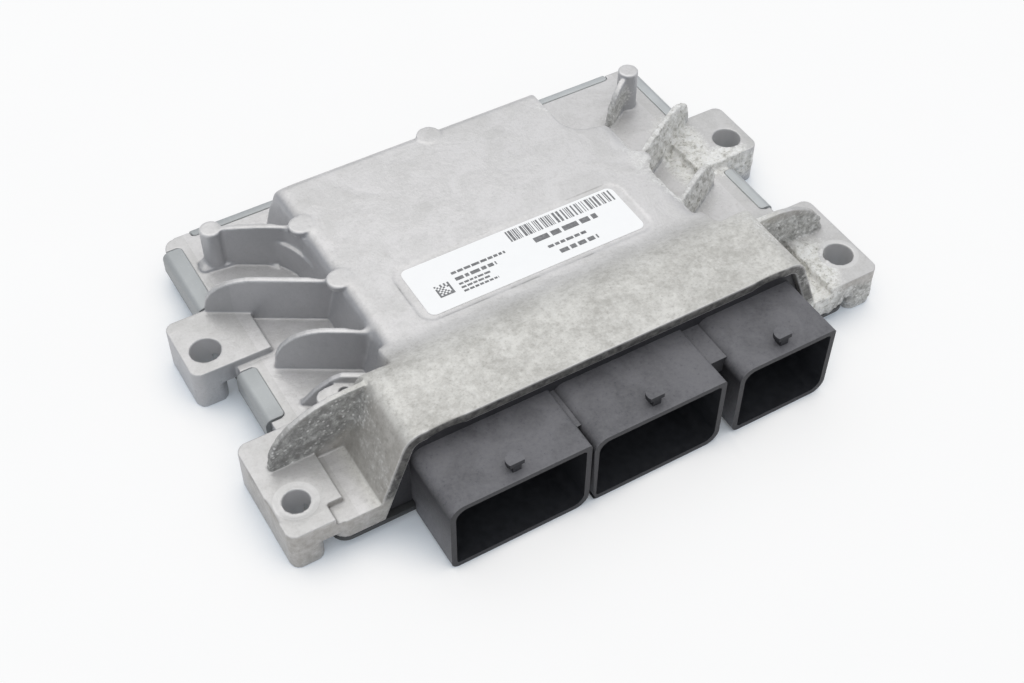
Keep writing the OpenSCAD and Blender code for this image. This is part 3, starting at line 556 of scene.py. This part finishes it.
cast_bright = (0.672, 0.657, 0.650, 1)
cast_stain = (0.53, 0.521, 0.505, 1)
cast_sand = (0.50, 0.487, 0.452, 1)
cast_cream = (0.70, 0.686, 0.646, 1)
cast_worn = (0.78, 0.77, 0.76, 1)
cast_soot_and_shade = (0.27, 0.25, 0.225, 1)
cast_dark = (0.15, 0.145, 0.135, 1)
lip_shade_black = (0.05, 0.05, 0.05, 1)
cast_blue_shade = (0.31, 0.322, 0.35, 1)
cast_bore = (0.68, 0.672, 0.672, 1)
salt_sooty = [(0.34, (0.10, 0.10, 0.098, 1)), (0.50, (0.235, 0.235, 0.228, 1)), (0.64, (0.42, 0.415, 0.39, 1))]
salt_pale = [(0.36, (0.42, 0.405, 0.355, 1)), (0.47, (0.78, 0.768, 0.725, 1)), (0.58, (0.92, 0.915, 0.895, 1))]
salt_pit = (0.20, 0.19, 0.16, 1)
salt_white = (0.86, 0.852, 0.835, 1)
hood_back_y = (-25.0, -13.0)
hood_end_x = (66.0, 72.0)
lug_from_x = 73.0
low_side_z = (6.0, 11.0)
lip_front_y = (-46.6, -46.2)
lip_low_z = (11.0, 13.0)
bore_r = (4.3, 4.8)
seat_r = 5.9
ejector_marks = [(-15.0, 24.5), (15.1, 41.9), (18.6, 42.6)]
ejector_r = 2.3
field_margin = (2.6, 1.6)
field_r = 4.0
cast_finish, tree, shader = new_finish("die_cast_aluminium")
spot = add(tree, "SeparateXYZ", {0: place(tree)})
normal = add(tree, "SeparateXYZ", {0: add(tree, "NewGeometry").outputs["Normal"]})
facing = normal.outputs["Z"]
level = add(tree, "VectorMath", {0: place(tree), 1: (1, 1, 0)}, operation="MULTIPLY").outputs[0]


def between(tree, value, start, end):
    """1 up to start, falling softly to 0 at end."""
    return add(tree, "MapRange", {"Value": value, "From Min": start, "From Max": end, "To Min": 1.0, "To Max": 0.0},
               interpolation_type="SMOOTHSTEP").outputs["Result"]


def nearest(tree, centres):
    """Distance in plan to the nearest of some centres."""
    near = None
    for x, y in centres:
        away = add(tree, "VectorMath", {0: level, 1: (x, y, 0)}, operation="DISTANCE").outputs["Value"]
        near = away if near is None else maths(tree, "MINIMUM", near, away)
    return near


# The skin: a faint mottle all over, sandy and speckled on the hood; upright faces get painted shade, sooty brown at
# the front and cool blue further back
patches = cloud(tree, 0.085, 6.0, 0.64, 0.5)
mottle = cloud(tree, 0.5, 6.0, 0.64)
speckle = cloud(tree, 1.25, 5.0, 0.75)
grain = cloud(tree, 2.6, 3.0, 0.6)
upright = between(tree, facing, 0.55, 0.9)
flat = maths(tree, "SUBTRACT", 1.0, between(tree, facing, 0.8, 0.93))
front_here = between(tree, spot.outputs["Y"], *hood_back_y)
hood_here = times(tree, front_here, between(tree, maths(tree, "ABSOLUTE", spot.outputs["X"]), *hood_end_x))
lug_here = maths(tree, "GREATER_THAN", maths(tree, "ABSOLUTE", spot.outputs["X"]), lug_from_x)
stained = maths(tree, "ADD", ramp(tree, patches, (0.40, 0.0), (0.70, 0.6)), times(tree, lug_here, 0.4))
tone = mixed(tree, stained, cast_bright, cast_stain)
tone = mixed(tree, ramp(tree, mottle, (0.50, 0.0), (0.72, 0.4)), tone, cast_stain)
blotch = maths(tree, "ADD", times(tree, patches, 0.55), times(tree, mottle, 0.45))
tone = mixed(tree, hood_here, tone, ramp(tree, blotch, (0.40, cast_cream), (0.60, cast_sand)))
low_side = times(tree, upright, between(tree, spot.outputs["Z"], *low_side_z))
strewn = maths(tree, "ADD", times(tree, hood_here, 0.25), times(tree, low_side, 0.45))
strewn = maths(tree, "ADD", strewn, 0.22)
tone = mixed(tree, times(tree, ramp(tree, speckle, (0.30, 1.0), (0.47, 0.0)), strewn), tone, cast_soot_and_shade)
tone = mixed(tree, times(tree, ramp(tree, speckle, (0.53, 0.0), (0.70, 1.0)), strewn), tone, cast_worn)
# Painted shade: upright faces at the front are darkened with a sooty brown
tone = mixed(tree, times(tree, upright, front_here, ramp(tree, mottle, (0.30, 0.8), (0.62, 0.3))), tone, cast_soot_and_shade)
# Painted shade: upright faces further back are darkened to a cool blue-grey
blue_shade_share = maths(tree, "SUBTRACT", 0.6, times(tree, front_here, 0.6))
tone = mixed(tree, times(tree, upright, blue_shade_share), tone, cast_blue_shade)

# Painted shade: the front face of the hood's lip is painted near black
lip = between(tree, normal.outputs["Y"], -0.8, -0.45)
lip = times(tree, lip, between(tree, spot.outputs["Y"], *lip_front_y))
lip = times(tree, lip, hood_here, maths(tree, "SUBTRACT", 1.0, between(tree, spot.outputs["Z"], *lip_low_z)))
tone = mixed(tree, times(tree, lip, ramp(tree, mottle, (0.35, 0.95), (0.65, 0.6))), tone, lip_shade_black)

# Marks of the tools: worn seats round the front lug holes, ejector marks, and the edge of the label's field
from_seat = nearest(tree, seated_holes)
seat = times(tree, between(tree, from_seat, seat_r - 0.25, seat_r), flat)
tone = mixed(tree, times(tree, seat, 0.4), tone, cast_worn)
from_hole = maths(tree, "MINIMUM", from_seat, nearest(tree, other_holes))
tone = mixed(tree, times(tree, between(tree, from_hole, *bore_r), upright), tone, cast_bore)
ejected = times(tree, between(tree, nearest(tree, ejector_marks), ejector_r - 0.5, ejector_r), flat)
tone = mixed(tree, times(tree, ejected, 0.4), tone, cast_stain)
label_low, label_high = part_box("label")
label_mid = (label_low + label_high) / 2
half_x = (label_high.x - label_low.x) / 2 / MM + field_margin[0] - field_r
half_y = (label_high.y - label_low.y) / 2 / MM + field_margin[1] - field_r
from_mid = add(tree, "VectorMath", {0: level, 1: (label_mid.x / MM, label_mid.y / MM, 0)}, operation="SUBTRACT")
past = add(tree, "VectorMath", {0: from_mid.outputs[0]}, operation="ABSOLUTE").outputs[0]
past = add(tree, "VectorMath", {0: past, 1: (half_x, half_y, 0)}, operation="SUBTRACT").outputs[0]
past = add(tree, "VectorMath", {0: past, 1: (0, 0, 0)}, operation="MAXIMUM").outputs[0]
past = add(tree, "VectorMath", {0: past}, operation="LENGTH").outputs["Value"]
past = maths(tree, "SUBTRACT", past, field_r)
field_line = times(tree, between(tree, maths(tree, "ABSOLUTE", past), 0.05, 0.4), flat)
tone = mixed(tree, times(tree, field_line, ramp(tree, patches, (0.50, 0.0), (0.60, 0.3))), tone, cast_dark)

# Bright worn edges, and darker hollow corners
edge_here = add(tree, "Attribute", attribute_name="stands_out").outputs["Fac"]
tone = mixed(tree, ramp(tree, edge_here, (0.25, 0.0), (0.85, 0.7)), tone, cast_worn)
tone = mixed(tree, ramp(tree, times(tree, edge_here, -1.0), (0.2, 0.0), (0.9, 0.35)), tone, cast_dark)

# Salt crust: sooty to pale, with dark pits and white powder, thinning out into loose specks
eaten_here = None
powder_here = None
for start, end, reach, strength, white, on_level in eaten_places:
    a, b = Vector(start), Vector(end)
    aim = (b - a).normalized()
    turned = add(tree, "Mapping", {"Vector": place(tree), "Location": (a + b) / 2,
                                   "Rotation": (0, -math.asin(aim.z), math.atan2(aim.y, aim.x)),
                                   "Scale": ((b - a).length / 2 + reach, reach, reach)}, vector_type="TEXTURE")
    away = add(tree, "VectorMath", {0: turned.outputs[0]}, operation="LENGTH").outputs["Value"]
    here = add(tree, "MapRange", {"Value": away, "From Min": 0.65, "From Max": 1.25, "To Min": strength,
                                  "To Max": 0.0}).outputs["Result"]
    if on_level < 1:
        here = times(tree, here, maths(tree, "SUBTRACT", 1.0, times(tree, flat, 1 - on_level)))
    powder = times(tree, here, white)
    eaten_here = here if eaten_here is None else maths(tree, "MAXIMUM", eaten_here, here)
    powder_here = powder if powder_here is None else maths(tree, "MAXIMUM", powder_here, powder)
crust = cloud(tree, 0.5, 7.0, 0.70, 0.4)
fine_crust = cloud(tree, 1.5, 5.0, 0.75)
broken = maths(tree, "ADD", times(tree, crust, 0.9), times(tree, fine_crust, 0.9))
cover_of = maths(tree, "ADD", eaten_here, broken)
salt = ramp(tree, times(tree, cover_of, 0.5), (0.61, 0.0), (0.88, 1.0))
salt = times(tree, salt, maths(tree, "SUBTRACT", 1.0, times(tree, seat, 0.85)))
whiter = maths(tree, "DIVIDE", powder_here, maths(tree, "MAXIMUM", eaten_here, 0.05))
clumps = maths(tree, "ADD", times(tree, crust, 0.62), times(tree, fine_crust, 0.38))
whiter = maths(tree, "ADD", whiter, times(tree, maths(tree, "SUBTRACT", crust, 0.5), 1.2), True)
salt_tone = mixed(tree, whiter, ramp(tree, clumps, *salt_sooty), ramp(tree, clumps, *salt_pale))
flecks = add(tree, "TexVoronoi", {"Vector": place(tree), "Scale": 0.9, "Randomness": 1.0})
picked = add(tree, "SeparateColor", {0: flecks.outputs["Color"]})
fleck = between(tree, flecks.outputs["Distance"], 0.12, 0.45)
salt_tone = mixed(tree, times(tree, fleck, ramp(tree, picked.outputs["Green"], (0.72, 0.0), (0.80, 0.7))),
                  salt_tone, salt_pit)
salt_tone = mixed(tree, times(tree, fleck, ramp(tree, picked.outputs["Red"], (0.66, 0.0), (0.76, 0.8)),
                              whiter), salt_tone, salt_white)
tone = mixed(tree, salt, tone, salt_tone)
loose = times(tree, fleck, ramp(tree, picked.outputs["Blue"], (0.55, 0.0), (0.65, 0.8)), eaten_here)
tone = mixed(tree, loose, tone, salt_white)
dull = maths(tree, "MAXIMUM", salt, times(tree, hood_here, 0.3))
metal = maths(tree, "SUBTRACT", 0.4, times(tree, dull, 0.37))
matt = maths(tree, "ADD", ramp(tree, mottle, (0.35, 0.36), (0.65, 0.44)), times(tree, dull, 0.38))
dress(tree, shader, tone, matt, metallic=metal)
field_step = maths(tree, "SUBTRACT", 1.0, between(tree, past, -0.15, 0.15))
field_step = times(tree, field_step, ramp(tree, patches, (0.45, 0.0), (0.60, 1.0)))
crumbs = times(tree, maths(tree, "SUBTRACT", broken, 0.9), salt)
relief(tree, shader, (grain, 0.02), (mottle, 0.06), (field_step, 0.05), (times(tree, speckle, strewn), 0.10),
       (crumbs, 0.22))
put("cast_cover", cast, cast_finish, "cover")

# Label: a white film label stuck on the plateau.
# Its print is generic: a block of upright bars, short word bars in rows, and a small square of blocks.
print_rise = 0.02 * MM
bars_x = (-1.5, 31.5)
bars_y = (4.0, 8.2)
code_corner = (-28.0, -4.6)
code_block = 0.55
film_finish, tree, shader = new_finish("label_film")
fibre = cloud(tree, 0.5, 5.0, 0.6)
tone = ramp(tree, fibre, (0.3, (0.975, 0.972, 0.965, 1)), (0.7, (0.99, 0.988, 0.98, 1)))
dress(tree, shader, tone, 0.7, specular=0.15)
relief(tree, shader, (fibre, 0.02))
ink_finish, tree, shader = new_finish("label_ink")
fade = cloud(tree, 1.1, 4.0, 0.7)
tone = ramp(tree, fade, (0.3, (0.13, 0.13, 0.135, 1)), (0.75, (0.30, 0.30, 0.305, 1)))
dress(tree, shader, tone, 0.6)
relief(tree, shader, (fade, 0.01))
film = welded("label")
work = bmesh.new()
work.from_mesh(film)
for face in work.faces:
    face.smooth = False
draw = random.Random(7)


def ink_bar(x0, x1, y0, y1):
    """One printed bar, in mm from the label's middle."""
    z = label_high.z + print_rise
    corners = [(x0, y0), (x1, y0), (x1, y1), (x0, y1)]
    face = work.faces.new([work.verts.new((label_mid.x + x * MM, label_mid.y + y * MM, z)) for x, y in corners])
    face.material_index = 1


x = bars_x[0]
while x < bars_x[1]:
    width = draw.choice((0.25, 0.25, 0.5, 0.75))
    ink_bar(x, x + width, *bars_y)
    x += width + draw.choice((0.25, 0.3, 0.5, 0.7))
word_rows = [(4.0, 24.0, 1.4, 1.9), (6.0, 18.0, -2.6, 1.0), (8.0, 20.0, -5.6, 1.5),
             (-21.5, -5.0, 1.8, 0.9), (-21.5, -9.0, -0.6, 1.2), (-21.5, -12.0, -2.6, 0.7),
             (-21.5, -13.0, -4.0, 0.7), (-21.5, -11.0, -5.4, 0.7)]
for start, end, y, tall in word_rows:
    x = start
    while x < end:
        long = draw.uniform(0.9, 2.6) * tall
        ink_bar(x, min(x + long, end), y - tall / 2, y + tall / 2)
        x += long + 0.45 * tall
for column in range(8):
    for row in range(8):
        if column in (0, 7) or row in (0, 7) or (column + row) % 2:
            if draw.random() < 0.8:
                x, y = code_corner[0] + column * code_block, code_corner[1] + row * code_block
                ink_bar(x, x + code_block, y, y + code_block)
work.to_mesh(film)
work.free()
put("film_label", film, film_finish, "label")
film.materials.append(ink_finish)

# Floor: a plain sheet of white paper under the unit.
# To the camera and in reflections most of it is an even white, and the rest keeps the unit's soft shadow; near the
# unit the paper's colour is painted a cool blue shade.
floor_half = 12.0
even_share = 0.74
shade_reach = 18 * MM
paper_shade = (0.78, 0.86, 0.94, 1)
paper_white = (0.985, 0.985, 0.985, 1)
floor_mesh = bpy.data.meshes.new("paper_floor")
floor_mesh.from_pydata([(-floor_half, -floor_half, 0), (floor_half, -floor_half, 0),
                        (floor_half, floor_half, 0), (-floor_half, floor_half, 0)], [], [(0, 1, 2, 3)])
floor = bpy.data.objects.new("paper_floor", floor_mesh)
scene.collection.objects.link(floor)
paper_finish, tree, shader = new_finish("white_paper")
sheet = ramp(tree, cloud(tree, 0.02, 3.0), (0.3, (0.94, 0.935, 0.93, 1)), (0.7, (0.96, 0.955, 0.95, 1)))
open_sky = add(tree, "AmbientOcclusion", {"Distance": shade_reach}, samples=8).outputs["AO"]
# Painted shade: where the unit hides the sky, the paper's colour turns a cool blue
tone = mixed(tree, ramp(tree, open_sky, (0.4, 1.0), (0.85, 0.0)), sheet, paper_shade)
dress(tree, shader, tone, 0.9, specular=0.1)
path = add(tree, "LightPath")
seen = maths(tree, "MAXIMUM", path.outputs["Is Camera Ray"], path.outputs["Is Glossy Ray"])
seen = maths(tree, "MAXIMUM", seen, path.outputs["Is Transmission Ray"])
even = add(tree, "Emission", {"Color": paper_white, "Strength": 1.0})
share = times(tree, ramp(tree, open_sky, (0.46, 0.13), (0.88, 1.0)), even_share, seen)
paper = add(tree, "MixShader", {0: share, 1: shader.outputs[0], 2: even.outputs[0]})
tree.links.new(paper.outputs[0], tree.nodes["Material Output"].inputs["Surface"])
floor_mesh.materials.append(paper_finish)

# Light: a large soft lamp above and behind the right side, as in a photo tent.
# The room round it is pale and cool overhead and dim near the horizon, so upright faces stay darker.
lamp_place = Vector((0.1, 1.0, 2.05))
lamp_data = bpy.data.lights.new("soft_lamp", "AREA")
lamp_data.shape = "DISK"
lamp_data.size = 2.0
lamp_data.energy = 7.4
lamp_data.color = (1.0, 0.985, 0.96)
lamp = bpy.data.objects.new("soft_lamp", lamp_data)
lamp.location = lamp_place
lamp.rotation_euler = (-lamp_place).to_track_quat("-Z", "Y").to_euler()
scene.collection.objects.link(lamp)
room = bpy.data.worlds.new("pale_room")
room.use_nodes = True
scene.world = room
tree = room.node_tree
up = along(tree, add(tree, "TexCoord").outputs["Generated"], "Z")
sky = ramp(tree, up, (0.0, (0.25, 0.27, 0.31, 1)), (0.35, (0.51, 0.53, 0.57, 1)),
           (0.75, (0.965, 0.985, 1.01, 1)), (1.0, (1.12, 1.13, 1.14, 1)))
tree.links.new(sky, tree.nodes["Background"].inputs["Color"])
tree.nodes["Background"].inputs["Strength"].default_value = 1.0

# Camera: at the photograph's place, in front of the unit's left end and above it.
# Its angle and lens were found from the lug holes and the edges of the casting.
camera_place = Vector((-0.15045, -0.24638, 0.31293))
camera_right = Vector((0.86054, -0.50931, 0.00795))
camera_up = Vector((0.37695, 0.64725, 0.66255))
camera_back = camera_right.cross(camera_up)
camera_data = bpy.data.cameras.new("camera")
camera_data.lens = 52.79
camera_data.sensor_width = 36.0
camera_data.clip_start = 0.01
camera = bpy.data.objects.new("camera", camera_data)
camera_turn = Matrix((camera_right, camera_up, camera_back)).transposed().to_4x4()
camera.matrix_world = Matrix.Translation(camera_place) @ camera_turn
scene.collection.objects.link(camera)
scene.camera = camera
scene.view_settings.view_transform = "Standard"
